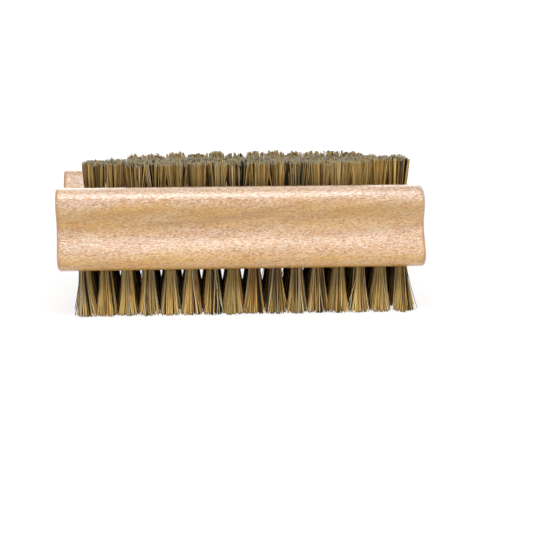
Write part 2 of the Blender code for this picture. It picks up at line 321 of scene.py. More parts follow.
def sanded_beech(settings):
    """Beech, moulded, sanded and lightly oiled. It gives the eye a smooth satin
    tan with a few soft growth rings that rise to the right, fine fibres with
    brown dents between them, short brown rays and dark pores. Painted glints
    lay pale specks, most on the lobes; painted sheen makes both lobes and the
    waist's lower flank paler and pinkish; painted shade darkens the waist's
    upper flank, which faces down; and painted light makes the lower edge a
    lighter, yellower tan. The sawn ends are burnished darker, with the rings as
    arcs.

    Fibres, rays and pores are finer than a pixel on the real wood, so they are
    drawn two to four times as coarse.
    """
    material, tree = new_material("sanded_beech")
    place = add_node(tree, "ShaderNodeTexCoord").outputs["Object"]
    apart = add_node(tree, "ShaderNodeSeparateXYZ", {0: place}).outputs
    grain_rise, grain_veer = math.radians(7.0), math.radians(2.0)
    along = add_node(tree, "ShaderNodeMapping", {
        "Vector": place, "Rotation": (0.0, grain_rise, grain_veer),
    })

    # The grain wanders slowly, over lengths drawn out along it.
    wander_size, wander_drawn_out, wander_most = 14.0 * MM, 2.6, 6.0 * MM
    slow = add_node(tree, "ShaderNodeMapping", {
        "Vector": along, "Scale": (1.0 / wander_drawn_out, 1.0, 1.0),
    })
    wander = add_node(tree, "ShaderNodeTexNoise", {"Vector": slow, "Scale": 1.0 / wander_size})
    wandered = add_node(tree, "ShaderNodeVectorMath", {
        0: wander.outputs["Color"], "Scale": wander_most,
    }, operation="SCALE")
    bent = add_node(tree, "ShaderNodeVectorMath", {0: along, 1: wandered})

    # Each noise: what it follows, the size of its features, how far they are
    # drawn out along X, Y and Z, its detail and its roughness.
    patterns = {
        "figure": (bent, 5.0 * MM, (3.5, 1.0, 1.0), 3.0, 0.5),
        "patch": (bent, 9.0 * MM, (4.0, 1.0, 1.0), 2.0, 0.5),
        "drift": (place, 9.0 * MM, (3.0, 1.0, 1.0), 2.0, 0.5),
        "fibre": (bent, 0.26 * MM, (12.0, 1.0, 1.0), 2.0, 0.5),
        "line": (bent, 0.34 * MM, (24.0, 1.0, 1.0), 1.0, 0.5),
        "ray": (along, 0.31 * MM, (3.4, 1.0, 1.0), 1.0, 0.5),
        "speck": (along, 0.25 * MM, (3.4, 1.0, 1.0), 2.0, 0.6),
        "pore": (along, 0.50 * MM, (1.3, 1.0, 1.0), 1.0, 0.5),
        "grit": (along, 0.30 * MM, (2.0, 1.0, 1.0), 2.0, 0.6),
        "end_ray": (place, 0.28 * MM, (1.0, 1.0, 12.0), 1.0, 0.5),
        "end_pore": (place, 0.34 * MM, (1.0, 1.0, 1.0), 1.0, 0.5),
    }
    noise = {}
    for name, (vector, size, drawn_out, detail, roughness) in patterns.items():
        drawn = add_node(tree, "ShaderNodeMapping", {
            "Vector": vector, "Scale": tuple(1.0 / reach for reach in drawn_out),
        })
        noise[name] = add_node(tree, "ShaderNodeTexNoise", {
            "Vector": drawn, "Scale": 1.0 / size, "Detail": detail, "Roughness": roughness,
        })

    # The late wood of each growth ring: its height in millimetres at the middle
    # of the stock, and how dark it is. It darkens slowly upwards and stops short.
    growth_rings = ((14.4, 0.45), (18.4, 0.50), (24.2, 0.60), (28.0, 1.0), (31.8, 0.25), (37.0, 0.30))
    slow_side, quick_side = 2.4, 1.3
    ring_low, ring_high = 6.0, 42.0
    ring_steps = [(0.0, 0.0)]
    for height, dark in growth_rings:
        for at, amount in ((height - slow_side, 0.0), (height, dark), (height + quick_side, 0.0)):
            ring_steps.append(((at - ring_low) / (ring_high - ring_low), amount))
    ring_height = add_node(tree, "ShaderNodeMapRange", {
        "Value": add_node(tree, "ShaderNodeSeparateXYZ", {0: bent}).outputs["Z"],
        "From Min": ring_low * MM + wander_most / 2.0, "From Max": ring_high * MM + wander_most / 2.0,
    })

    # How high up the stock a point lies, as a share that drifts a little.
    drift_most = 4.0 * MM
    drifted = add_node(tree, "ShaderNodeMath", {
        0: noise["drift"], 1: drift_most, 2: apart["Z"],
    }, operation="MULTIPLY_ADD")
    level = add_node(tree, "ShaderNodeMapRange", {
        "Value": drifted,
        "From Min": STOCK_LOW.z + drift_most / 2.0, "From Max": STOCK_HIGH.z + drift_most / 2.0,
    })

    # Each band: the height that it follows, and how strong it is there. The rub
    # and sheen band is strongest on both lobes and the waist's lower flank, which
    # face the lamps: it lays painted sheen there and makes the wood smoother. The
    # flank band lays painted shade on the waist's upper flank, which faces down.
    bands = {
        "ring": (ring_height, ring_steps),
        "rub_and_sheen": (level, (
            (0.0, 0.0), (0.16, 0.10), (0.26, 0.72), (0.44, 0.84),
            (0.56, 0.10), (0.75, 0.0), (0.89, 1.0), (1.0, 0.8),
        )),
        "painted_flank_shade": (level, ((0.0, 0.0), (0.56, 0.0), (0.65, 1.0), (0.72, 1.0), (0.82, 0.0))),
    }
    band = {}
    for name, (followed, steps) in bands.items():
        band[name] = add_node(tree, "ShaderNodeValToRGB", {"Fac": followed}, stops=[
            (at, (amount,) * 3) for at, amount in steps
        ]).outputs["Color"]

    # The end grain's rings are arcs round the heart of the tree, below the
    # stock. At a scale of 1 a wave is 2 pi / 20 long.
    heart = add_node(tree, "ShaderNodeMapping", {"Vector": along, "Location": (0.0, -18.0 * MM, 42.0 * MM)})
    unit_wave, arc_spacing = 2.0 * math.pi / 20.0, 2.4 * MM
    arcs = add_node(tree, "ShaderNodeTexWave", {
        "Vector": heart, "Scale": unit_wave / arc_spacing, "Distortion": 1.2, "Detail Scale": 0.5,
    }, wave_type="RINGS", rings_direction="X", wave_profile="SAW")
    reach = add_node(tree, "ShaderNodeMath", {0: apart["X"]}, operation="ABSOLUTE")

    # Each share: the value that it follows, from where to where, and its least and most.
    half_length = STOCK_HIGH.x
    spans = {
        "figure": (noise["figure"], 0.42, 0.64, 0.0, 1.0),
        "patch": (noise["patch"], 0.35, 0.60, 0.40, 0.92),
        "fibre": (noise["fibre"], 0.45, 0.80, 0.0, 0.45),
        "line": (noise["line"], 0.58, 0.74, 0.0, 0.50),
        "ray": (noise["ray"], 0.60, 0.69, 0.0, 1.0),
        "speck": (noise["speck"], 0.52, 0.66, 0.0, 1.0),
        # Painted glints are strongest where the painted sheen is.
        "glint_most": (band["rub_and_sheen"], 0.0, 1.0, 0.24, 0.68),
        "dent": (noise["speck"], 0.46, 0.36, 0.0, 1.0),
        "dent_most": (band["rub_and_sheen"], 0.0, 1.0, 0.86, 0.92),
        "pore": (noise["pore"], 0.715, 0.77, 0.0, 0.95),
        "end_ray": (noise["end_ray"], 0.55, 0.70, 0.0, 0.30),
        "end_pore": (noise["end_pore"], 0.56, 0.70, 0.0, 0.45),
        # Painted light on the down-facing lower edge.
        "edge": (level, -0.02, 0.20, 0.95, 0.0),
        "end": (reach, half_length - 1.2 * MM, half_length - 0.55 * MM, 0.0, 0.9),
    }
    share = {}
    for name, (value, low, high, least, most) in spans.items():
        share[name] = add_node(tree, "ShaderNodeMapRange", {
            "Value": value, "From Min": low, "From Max": high, "To Min": least, "To Max": most,
        })

    # Each layer: a share, another that it is multiplied with, and the colour laid on.
    side_layers = (
        (share["figure"], 1.0, settings.blush),
        (band["ring"], share["patch"], settings.ring),
        # Painted shade on the waist's upper flank, which faces down, in the late wood's colour.
        (band["painted_flank_shade"], 0.24, settings.ring),
        # Painted light: a lighter, yellower tan on the down-facing lower edge.
        (share["edge"], 1.0, settings.edge),
        # Painted sheen on both lobes and the waist's lower flank.
        (band["rub_and_sheen"], 0.35, settings.painted_sheen),
        (share["fibre"], 1.0, settings.fibre),
        (share["line"], 1.0, settings.fibre),
        (share["dent"], share["dent_most"], settings.dent),
        (share["ray"], 0.90, settings.fleck),
        # Painted glints: pale specks laid most on the lobes.
        (share["speck"], share["glint_most"], settings.painted_glint),
        (share["pore"], 1.0, settings.pore),
    )
    end_layers = (
        (arcs.outputs["Fac"], 0.55, settings.end_ring),
        (share["end_ray"], 1.0, settings.blush),
        (share["end_pore"], 1.0, settings.pore),
    )
    finished = []
    for ground, layers in ((settings.ground, side_layers), (settings.end_edge, end_layers)):
        surface = opaque(ground)
        for one, other, shade in layers:
            factor = add_node(tree, "ShaderNodeMath", {0: one, 1: other}, operation="MULTIPLY")
            surface = add_node(tree, "ShaderNodeMix", {
                MIX_FACTOR: factor, MIX_FIRST: surface, MIX_SECOND: opaque(shade),
            }, data_type="RGBA").outputs[MIX_RESULT]
        finished.append(surface)
    side, end = finished
    wood = add_node(tree, "ShaderNodeMix", {
        MIX_FACTOR: share["end"], MIX_FIRST: side, MIX_SECOND: end,
    }, data_type="RGBA")

    fibre_bump = add_node(tree, "ShaderNodeBump", {
        "Height": noise["fibre"], "Strength": 0.4, "Distance": 0.05 * MM,
    })
    bump = add_node(tree, "ShaderNodeBump", {
        "Height": noise["grit"], "Strength": 0.6, "Distance": 0.15 * MM, "Normal": fibre_bump,
    })
    gloss = add_node(tree, "ShaderNodeMapRange", {
        "Value": noise["grit"], "From Min": 0.3, "From Max": 0.7, "To Min": 0.32, "To Max": 0.44,
    })
    smoothed_by_rubbing = 0.18
    polish = add_node(tree, "ShaderNodeMath", {
        0: band["rub_and_sheen"], 1: -smoothed_by_rubbing, 2: gloss,
    }, operation="MULTIPLY_ADD")
    shader = add_node(tree, "ShaderNodeBsdfPrincipled", {
        "Base Color": wood.outputs[MIX_RESULT], "Roughness": polish, "IOR": 1.5,
        "Specular IOR Level": 1.0, "Coat Weight": 1.0, "Coat Roughness": 0.17,
        "Normal": bump, "Coat Normal": bump,
    })
    add_node(tree, "ShaderNodeOutputMaterial", {"Surface": shader})
    return material


def natural_bristle(settings):
    """Natural animal bristle, boiled, bundled and trimmed. It gives the eye many
    fine strands, each with its own tone from dark brown through gold to nearly
    white, with a grey cut end and a waxy gloss. Painted shade darkens each strand
    towards the root, and painted light brightens it towards the tip."""
    material, tree = new_material("natural_bristle")
    # Each point's shade is painted shade and light along its bristle; its tone is the bristle's own colour.
    given = {
        name: add_node(tree, "ShaderNodeAttribute", attribute_name=name).outputs["Fac"]
        for name in ("tone", "shade", "cut")
    }
    strand = add_node(tree, "ShaderNodeValToRGB", {"Fac": given["tone"]}, stops=[
        (0.0, settings.dark), (0.15, settings.dark), (0.28, settings.brown), (0.44, settings.golden),
        (0.60, settings.golden), (0.72, settings.khaki), (0.88, settings.khaki), (1.0, settings.pale),
    ])
    strand_with_painted_shade = add_node(tree, "ShaderNodeVectorMath", {
        0: strand.outputs["Color"], "Scale": given["shade"],
    }, operation="SCALE")
    ended = add_node(tree, "ShaderNodeMix", {
        MIX_FACTOR: given["cut"], MIX_FIRST: strand_with_painted_shade, MIX_SECOND: opaque(settings.cut_end),
    }, data_type="RGBA", clamp_result=True)
    shader = add_node(tree, "ShaderNodeBsdfPrincipled", {
        "Base Color": ended.outputs[MIX_RESULT], "Roughness": 0.46, "IOR": 1.54, "Specular IOR Level": 0.2,
    })
    add_node(tree, "ShaderNodeOutputMaterial", {"Surface": shader})
    return material


def seen_itself(tree):
    """1 for a ray on which the eye sees this background, straight, mirrored or
    through glass, and 0 for one that only gathers its light."""
    path = add_node(tree, "ShaderNodeLightPath").outputs
    seen = path["Is Camera Ray"]
    for kind in ("Is Glossy Ray", "Is Transmission Ray"):
        seen = add_node(tree, "ShaderNodeMath", {0: seen, 1: path[kind]}, operation="MAXIMUM")
    return seen


def studio_floor(settings):
    """Matt white floor: it shows white, keeps the brush's shadow, and lights
    the brush from below as a pale floor does. Its glow, laid over a grey that
    takes the shadow, is a little weaker round the brush."""
    material, tree = new_material("studio_floor")
    lit = add_node(tree, "ShaderNodeBsdfDiffuse", {"Color": opaque(settings.floor)})
    shadow_keeper = add_node(tree, "ShaderNodeBsdfDiffuse", {"Color": (0.30, 0.30, 0.30, 1.0)})
    place = add_node(tree, "ShaderNodeTexCoord").outputs["Object"]
    distance = add_node(tree, "ShaderNodeVectorMath", {0: place}, operation="LENGTH")
    strength = add_node(tree, "ShaderNodeMapRange", {
        "Value": distance.outputs["Value"], "From Min": 0.10, "From Max": 0.45, "To Min": 0.80, "To Max": 1.0,
    })
    glow = add_node(tree, "ShaderNodeEmission", {"Color": WHITE, "Strength": strength})
    white = add_node(tree, "ShaderNodeAddShader", {0: shadow_keeper, 1: glow})
    mixed = add_node(tree, "ShaderNodeMixShader", {
        0: seen_itself(tree), 1: lit, 2: white,
    })
    add_node(tree, "ShaderNodeOutputMaterial", {"Surface": mixed})
    return material


def white_room(settings):
    """A world that shows white and lights the brush only a little."""
    world = bpy.data.worlds.new("white_room")
    world.use_nodes = True
    tree = world.node_tree
    tree.nodes.clear()
    strength = add_node(tree, "ShaderNodeMapRange", {
        "Value": seen_itself(tree), "To Min": settings.ambient, "To Max": 1.0,
    })
    background = add_node(tree, "ShaderNodeBackground", {"Color": WHITE, "Strength": strength})
    add_node(tree, "ShaderNodeOutputWorld", {"Surface": background})
    return world


def new_mesh(name, points, faces):
    """Put an array of points and a list of equal-sided face arrays into a mesh."""
    mesh = bpy.data.meshes.new(name)
    mesh.vertices.add(len(points))
    mesh.vertices.foreach_set("co", np.asarray(points, np.float32).ravel())
    corners = np.concatenate([f.ravel() for f in faces])
    sides = np.concatenate([np.full(len(f), f.shape[1]) for f in faces])
    starts = np.concatenate([[0], np.cumsum(sides)[:-1]])
    mesh.loops.add(len(corners))
    mesh.loops.foreach_set("vertex_index", corners.astype(np.int32))
    mesh.polygons.add(len(sides))
    mesh.polygons.foreach_set("loop_start", starts.astype(np.int32))
    mesh.update(calc_edges=True)
    return mesh


def walls(low, high, sides):
    """Quads between pairs of rings of as many sides: low and high hold the
    number of each ring's first point, and point k joins point k + 1."""
    here = np.arange(sides)
    after = (here + 1) % sides
    return np.stack([low + here, low + after, high + after, high + here], axis=-1).reshape(-1, 4)


def new_piece(name, mesh, material, slot, *nodes):
    """An object of the brush that stands for the given nodes of the frame."""
    piece = bpy.data.objects.new(name, mesh)
    bpy.context.scene.collection.objects.link(piece)
    mesh.materials.append(material)
    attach(piece, "root")
    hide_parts(*nodes)
    return piece


def stock_section(s):
    """The stock's section in Y and Z, anticlockwise seen from +X.

    Each side has the lower lobe, a quarter of an ellipse; the waist, one
    wave of a cosine drawn in from the side; the upper lobe, another quarter;
    the rim, a quadratic curve from the land to the trough's wall; and the
    wall's foot, a small quadratic curve on to the floor.
    """
    side = STOCK_HIGH.y
    low, high = STOCK_LOW.z, STOCK_HIGH.z
    lower_crest = low + s.lower_lobe_height
    upper_crest = high - s.upper_lobe_height

    lobe_steps, waist_steps, rim_steps, corner_steps = 15, 33, 13, 7
    lower = quarter(side, lower_crest, s.lower_lobe_width, s.lower_lobe_height, -0.5 * math.pi, lobe_steps)
    upper = quarter(side, upper_crest, s.upper_lobe_width, s.upper_lobe_height, 0.0, lobe_steps)
    share = np.linspace(0.0, 1.0, waist_steps)[1:-1]
    waist = np.stack([
        side - s.waist_depth * (1.0 - np.cos(2.0 * math.pi * share)) / 2.0,
        lower_crest + (upper_crest - lower_crest) * share,
    ], axis=1)

    mouth = np.array([side - s.upper_lobe_width - s.rim_land - s.rim_round, high])
    foot = np.array([s.trough_half_width, high - s.trough_depth])
    wall = (foot - mouth) / np.linalg.norm(foot - mouth)
    foot_round = 0.6 * MM
    rim = quadratic(mouth + (s.rim_round, 0.0), mouth, mouth + wall * s.rim_round, rim_steps)
    corner = quadratic(foot - wall * foot_round, foot, foot - (foot_round, 0.0), corner_steps)
    half = np.concatenate([lower, waist, upper, rim, corner])
    return np.concatenate([half, half[::-1] * (-1.0, 1.0)])


def quarter(side, crest, width, height, start, steps):
    """A quarter of an ellipse that touches a side at its crest: it leaves the side
    by width (1 - cos a) and the crest by height sin a."""
    angle = np.linspace(start, start + 0.5 * math.pi, steps)
    return np.stack([side - width * (1.0 - np.cos(angle)), crest + height * np.sin(angle)], axis=1)


def quadratic(start, corner, end, steps):
    """A curve that rounds a corner: (1 - t)^2 of the start, 2 t (1 - t) of the
    corner and t^2 of the end."""
    t = np.linspace(0.0, 1.0, steps)[:, None]
    return (1.0 - t) ** 2 * start + 2.0 * t * (1.0 - t) * corner + t ** 2 * end


def outward_normals(section):
    """Unit normals of a closed anticlockwise outline, from its neighbours' chord."""
    chord = np.roll(section, -1, axis=0) - np.roll(section, 1, axis=0)
    normal = np.stack([chord[:, 1], -chord[:, 0]], axis=1)
    return normal / np.linalg.norm(normal, axis=1, keepdims=True)


def stock_surface(s):
    """The section carried along X, with both ends rounded and closed.

    Ring by ring, as a falls from a right angle to nought, the section lies
    r (1 - cos a) in along its normals and r (1 - sin a) from the end, as a
    sanded edge of radius r; between the two rounded ends it runs straight.
    Each end's radius runs evenly from its foot to its top. The right end is
    sawn a little out of square, turned about the height of the mount on it.
    """
    section = stock_section(s)
    normals = outward_normals(section)
    half_length = STOCK_HIGH.x
    mount_share = 0.37
    end_steps = 7
    angle = np.linspace(0.5 * math.pi, 0.0, end_steps)
    height = (section[:, 1] - STOCK_LOW.z) / (STOCK_HIGH.z - STOCK_LOW.z)
    left = s.left_foot_round + (s.left_top_round - s.left_foot_round) * height
    right = s.right_foot_round + (s.right_top_round - s.right_foot_round) * height
    sawn = half_length - s.right_slant * (height - mount_share)
    back, inward = (1.0 - np.sin(angle))[:, None], (1.0 - np.cos(angle))[:, None]
    x = np.concatenate([-half_length + left * back, (sawn - right * back)[::-1]])
    inset = np.concatenate([left * inward, (right * inward)[::-1]])

    across = section[None, :, :] - normals[None, :, :] * inset[:, :, None]
    points = np.concatenate([x[:, :, None], across], axis=2).reshape(-1, 3)
    count = len(section)
    here = np.arange(count)[None, :]
    ring = (np.arange(len(x) - 1) * count)[:, None]
    skin = walls(ring, ring + count, count)[:, ::-1]
    return points, [skin, here[:, ::-1], here + (len(x) - 1) * count]


def on_circle(angle):
    """Points of the unit circle: the cosine and the sine of each angle."""
    return np.stack([np.cos(angle), np.sin(angle)], axis=-1)


def drilled_holes(places, radius, low, high, sides=20):
    """Closed upright cylinders, one at each place: rings of a circle at two heights."""
    circle = on_circle(np.linspace(0.0, 2.0 * math.pi, sides, endpoint=False)) * radius
    rim = np.asarray(places)[:, None, :] + circle[None, :, :]
    levels = [np.concatenate([rim, np.full((*rim.shape[:2], 1), z)], axis=2) for z in (low, high)]
    points = np.concatenate(levels, axis=1).reshape(-1, 3)
    here = np.arange(sides)
    start = (np.arange(len(places)) * 2 * sides)[:, None]
    return points, [walls(start, start + sides, sides), start + here[::-1], start + sides + here]


def column_places(node, rows, pitch, skew=0.0):
    """The tufts' centres in one column of the frame, from the front: row k of n
    stands k - (n - 1) / 2 pitches behind the middle and k skews to the right."""
    low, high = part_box(node)
    x = (low.x + high.x) / 2.0
    return [(x + skew * row, (row - (rows - 1) / 2.0) * pitch) for row in range(rows)]


def lower_places(index, b):
    """The long tufts of a column."""
    return column_places(LOWER_COLUMNS[index], LOWER_ROWS, b.lower_row_pitch, b.lower_skew)


def upper_places(index, b):
    """The short tufts of a column, fewer near both ends."""
    inner = UPPER_END_COLUMNS <= index < len(UPPER_COLUMNS) - UPPER_END_COLUMNS
    rows = UPPER_ROWS if inner else UPPER_END_ROWS
    return column_places(UPPER_COLUMNS[index], rows, b.upper_row_pitch)


class BRUSH_OT_stock(bpy.types.Operator):
    """Make the beech stock with its drilled holes"""

    bl_idname = "brush.stock"
    bl_label = "Beech Stock"

    def execute(self, context):
        s = context.scene.brush_stock
        b = context.scene.brush_bristles
        stock = new_piece(
            "moulded_beech_stock", new_mesh("moulded_beech_stock", *stock_surface(s)),
            sanded_beech(context.scene.brush_beech), "beech", "beech_stock",
        )
        floor = STOCK_HIGH.z - s.trough_depth
        over = s.hole_depth / 2.0

        # Each field, its number of columns, and how low and high its drill reaches.
        fields = [
            (lower_places, len(LOWER_COLUMNS), STOCK_LOW.z - over, STOCK_LOW.z + s.hole_depth),
            (upper_places, len(UPPER_COLUMNS), floor - s.hole_depth, floor + over),
        ]
        for places_of, count, low, high in fields:
            places = [place for i in range(count) for place in places_of(i, b)]
            drill(stock, drilled_holes(places, s.hole_diameter / 2.0, low, high))
        stock.data.shade_smooth()
        stock.data.set_sharp_from_angle(angle=math.radians(40.0))
        return {"FINISHED"}


def drill(piece, surface):
    """Cut a closed surface out of a piece and keep the result as its mesh."""
    tool = bpy.data.objects.new("drill", new_mesh("drill", *surface))
    bpy.context.scene.collection.objects.link(tool)
    cut = piece.modifiers.new("Drill", "BOOLEAN")
    cut.operation = "DIFFERENCE"
    cut.solver = "EXACT"
    cut.object = tool
    graph = bpy.context.evaluated_depsgraph_get()
    mesh = bpy.data.meshes.new_from_object(piece.evaluated_get(graph))
    piece.modifiers.clear()
    piece.data = mesh
    bpy.data.objects.remove(tool, do_unlink=True)


class Tuft(NamedTuple):
    """One bunch of bristles: where it stands, how it flares and how it is trimmed."""

    place: tuple  # The middle of its hole in X and Y.
    lean: tuple  # How far its tips stand off from there in X and Y.
    count: int  # How many bristles it has.
    root_radius: float
    tip_radius: float
    bend: float  # The power of its flare.
    squareness: float  # How far its corners fill out a square, 0 to 1.
    pull: float  # How far a tip is drawn to its clump's middle, 0 to 1.
    furthest: float  # Where its furthest strays end, in tip radii.
    trim: float  # How unevenly it is cut.
    dome: float  # How much shorter it is cut at its rim.
    drop: float  # How much shorter it is cut all over.
    # Painted shade on its roots, where the tufts round it shade them.
    painted_root_shade: float  # How much darker its roots are than its tips, 0 to 1.
    grey: float  # How grey its cut ends are, 0 to 1.
    tone_shift: float  # What is added to each tone.
    tone_spread: float  # How far apart its tones lie.


def sunflower(count):
    """Evenly spread points of a unit disc: the k-th lies at radius sqrt(k / n)
    and is turned by k golden angles."""
    k = np.arange(count) + 0.5
    golden = math.pi * (3.0 - math.sqrt(5.0))
    return on_circle(k * golden) * np.sqrt(k / count)[:, None]


def bristle_lines(rng, tuft):
    """Where the bristles of one tuft start and end, their tones, how bright
    they are and how much shorter than the trim line they are cut.

    They start spread over the root's disc. Each tip is the same place on the
    tips' patch, a disc whose corners are pushed out towards a square, pulled
    towards the middle of its clump, with a little scatter and the tuft's
    lean. Some strays end further out, and some cross over the tuft's outside,
    from one place on its rim to another. What is cut off is the tuft's drop
    and its trim times the sum of a clump's, a tuft's and a bristle's draw.
    """
    count = tuft.count
    turn = rng.uniform(0.0, 2.0 * math.pi)
    turned = np.array([[math.cos(turn), math.sin(turn)], [-math.sin(turn), math.cos(turn)]])
    start = sunflower(count) @ turned + rng.normal(0.0, ROOT_SCATTER, (count, 2))
    clumps = sunflower(CLUMP_COUNT) @ turned * CLUMP_SPREAD
    clumps = clumps + rng.normal(0.0, CLUMP_SCATTER, (CLUMP_COUNT, 2))
    distance = np.linalg.norm(start[:, None, :] - clumps[None, :, :], axis=2)
    nearest = distance.argmin(axis=1)
    end = start + tuft.pull * (clumps[nearest] - start) + rng.normal(0.0, TIP_SCATTER, (count, 2))
    stray = rng.random(count) < STRAY_SHARE
    end[stray] *= rng.uniform(JUST_OUTSIDE, tuft.furthest, (stray.sum(), 1))
    crossing = rng.random(count) < CROSSING_SHARE
    rim_start = rng.uniform(0.0, 2.0 * math.pi, crossing.sum())
    rim_end = rim_start + rng.uniform(-CROSSING_SWING, CROSSING_SWING, crossing.sum())
    start[crossing] = on_circle(rim_start)
    end[crossing] = on_circle(rim_end) * JUST_OUTSIDE
    to_square = np.linalg.norm(end, axis=1) / np.maximum(np.abs(end).max(axis=1), 1e-6)
    end *= (1.0 + tuft.squareness * (to_square - 1.0))[:, None]

    clump_tone = rng.random(CLUMP_COUNT)
    tone = CLUMP_TONE * clump_tone[nearest] + OWN_TONE * rng.random(count) + rng.uniform(*TUFT_TONE_RANGE)
    spread = tuft.tone_spread * (tone - MIDDLE_TONE)
    tone = np.clip(MIDDLE_TONE + tuft.tone_shift + spread, 0.0, MOST_TONE)
    pale = rng.random(count) < np.where(crossing, PALE_CROSSING_SHARE, PALE_SHARE)
    tone[pale] = rng.uniform(*PALE_RANGE, pale.sum())
    glow = rng.uniform(*CLUMP_GLOW_RANGE, CLUMP_COUNT)[nearest] * rng.uniform(*OWN_GLOW_RANGE, count)
    clump_trim = CLUMP_TRIM * rng.normal(0.0, 1.0, CLUMP_COUNT)
    short = tuft.trim * (clump_trim[nearest] + TUFT_TRIM * rng.normal() + rng.exponential(OWN_TRIM, count))
    middle = np.asarray(tuft.place)
    lean = np.asarray(tuft.lean) + rng.normal(0.0, LEAN_SCATTER, 2)
    start = middle + start * tuft.root_radius
    end = middle + end * tuft.tip_radius + lean
    return start, end, tone, glow, short + tuft.drop


def bristle_tubes(start, end, start_z, end_z, radius, sway, bend):
    """Three-sided tubes along bent lines, closed at both ends.

    A line's point at share t is its start plus (end - start) t^bend across,
    even in height, plus a sway of sin(pi t) that vanishes at both ends. The
    tube is round a horizontal circle there, and its radius falls with t^2.
    """
    share = np.array(RING_SHARES)
    rings, sides, count = len(share), 3, len(start)
    turns, thinning = 37.0, 0.2
    t = share[None, :, None]
    across = start[:, None, :] + (end - start)[:, None, :] * t ** bend[:, None, None]
    across = across + sway[:, None, :] * np.sin(math.pi * t)
    height = start_z[:, None, None] + (end_z - start_z)[:, None, None] * t
    spin = np.linspace(0.0, 2.0 * math.pi, count, endpoint=False) * turns
    angle = spin[:, None] + np.arange(sides)[None, :] * 2.0 * math.pi / sides
    circle = on_circle(angle) * radius[:, None, None]
    thick = (1.0 - thinning * share ** 2)[None, :, None, None]
    around = across[:, :, None, :] + circle[:, None, :, :] * thick
    tall = np.broadcast_to(height[:, :, None, :], (count, rings, sides, 1))
    points = np.concatenate([around, tall], axis=3).reshape(-1, 3)

    first = np.arange(count)[:, None] * rings * sides
    low = (first + np.arange(rings - 1) * sides)[:, :, None]
    here = np.arange(sides)
    faces = [walls(low, low + sides, sides), first + here[::-1], first + (rings - 1) * sides + here]
    upward = end_z[0] > start_z[0]
    return points, faces if upward else [face[:, ::-1] for face in faces]


def add_number(mesh, name, values):
    """Give each point of a mesh a number that its material reads."""
    attribute = mesh.attributes.new(name, "FLOAT", "POINT")
    attribute.data.foreach_set("value", values.astype(np.float32).ravel())


def tuft_column(name, node, tufts, b, root_z, tip_z, painted_shades, seed, material):
    """All the bristles of one column of tufts as one piece.

    Each is cut shorter by its tuft's dome times the square of how many tip
    radii out it ends, and darkened with painted shade by its tuft's painted root
    shade times 1 less the fourth power of the share along it. A few are broken
    short or stand proud.
    """
    rng = np.random.default_rng(seed)
    start, end, tone, glow, short = (
        np.concatenate(parts) for parts in zip(*(bristle_lines(rng, tuft) for tuft in tufts))
    )
    counts = [tuft.count for tuft in tufts]
    middles, tip_radius, dome, painted_root_shade, grey = (
        np.repeat([getattr(tuft, field) for tuft in tufts], counts, axis=0)
        for field in ("place", "tip_radius", "dome", "painted_root_shade", "grey")
    )
    bend = np.repeat([tuft.bend * rng.uniform(*BEND_RANGE) for tuft in tufts], counts)
    total = len(start)
    direction = math.copysign(1.0, tip_z - root_z)
    out = np.linalg.norm(end - middles, axis=1) / tip_radius
    short = short + dome * np.minimum(out, DOME_REACH) ** 2
    broken = rng.random(total) < BROKEN_SHARE
    short[broken] += rng.uniform(*BROKEN_MM, broken.sum()) * MM
    proud = rng.random(total) < PROUD_SHARE
    short[proud] -= rng.uniform(*PROUD_MM, proud.sum()) * MM

    # The brush stands on its long tips, so none of those stands proud.
    most_proud = 0.0 if direction < 0.0 else MOST_PROUD
    short = np.maximum(short, -most_proud)
    radius = b.diameter / 2.0 * rng.uniform(*THICKNESS_RANGE, total)
    sway = rng.normal(0.0, SWAY, (total, 2))
    points, faces = bristle_tubes(
        start, end, np.full(total, root_z), tip_z - direction * short, radius, sway, bend,
    )
    mesh = new_mesh(name, points, faces)
    mesh.shade_smooth()
    # Painted shade and light along each bristle, times its random brightness, and less its tuft's painted
    # root shade.
    share = np.array(RING_SHARES)[None, :, None]
    shade = np.array(painted_shades)[None, :, None] * glow[:, None, None]
    shade = shade * (1.0 - painted_root_shade[:, None, None] * (1.0 - share ** 4))
    clean = rng.random(total) < CLEAN_SHARE
    cut = (grey * clean * rng.uniform(*CLEAN_RANGE, total))[:, None, None] * (share == 1.0)
    every_corner = (total, len(RING_SHARES), 3)
    for label, values in (("shade", shade), ("tone", tone[:, None, None]), ("cut", cut)):
        add_number(mesh, label, np.broadcast_to(values, every_corner))
    return new_piece(name, mesh, material, "bristle", node)


class BRUSH_OT_lower_tufts(bpy.types.Operator):
    """Make the long tufts below the stock, one piece for each column"""

    bl_idname = "brush.lower_tufts"
    bl_label = "Lower Tufts"

    def execute(self, context):
        b = context.scene.brush_bristles
        material = bristle_material(context)
        last = len(LOWER_COLUMNS) - 1
        left_lean, right_lean = 0.8 * MM, 0.9 * MM
        for i, node in enumerate(LOWER_COLUMNS):
            # The first column and the last two lean to the right.
            lean = (right_lean * max(0.0, 1.0 - (last - i) / 2.0) + left_lean * (i == 0), 0.0)
            tufts = []
            for row, place in enumerate(lower_places(i, b)):
                inner = 0 < row < LOWER_ROWS - 1
                if inner:
                    flare = (b.inner_root_radius, b.inner_tip_radius, b.inner_bend)
                else:
                    flare = (b.outer_root_radius, b.outer_tip_radius, b.outer_bend)
                # Inner rows get painted shade on their roots, where the rows round them shade them.
                tufts.append(Tuft(
                    place, lean, b.lower_count, *flare, squareness=0.75 if inner else 0.35,
                    pull=0.32, furthest=2.0 if i == 0 else 1.5, trim=b.lower_trim, dome=0.08 * MM, drop=0.0,
                    painted_root_shade=0.30 if inner else 0.0, grey=0.12, tone_shift=0.01, tone_spread=1.25,
                ))
            tuft_column(
                "long_bristles_%02d" % (i + 1), node, tufts, b, STOCK_LOW.z + ROOT_DEPTH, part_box(node)[0].z,
                LOWER_PAINTED_SHADES, LOWER_SEED + i, material,
            )
        return {"FINISHED"}


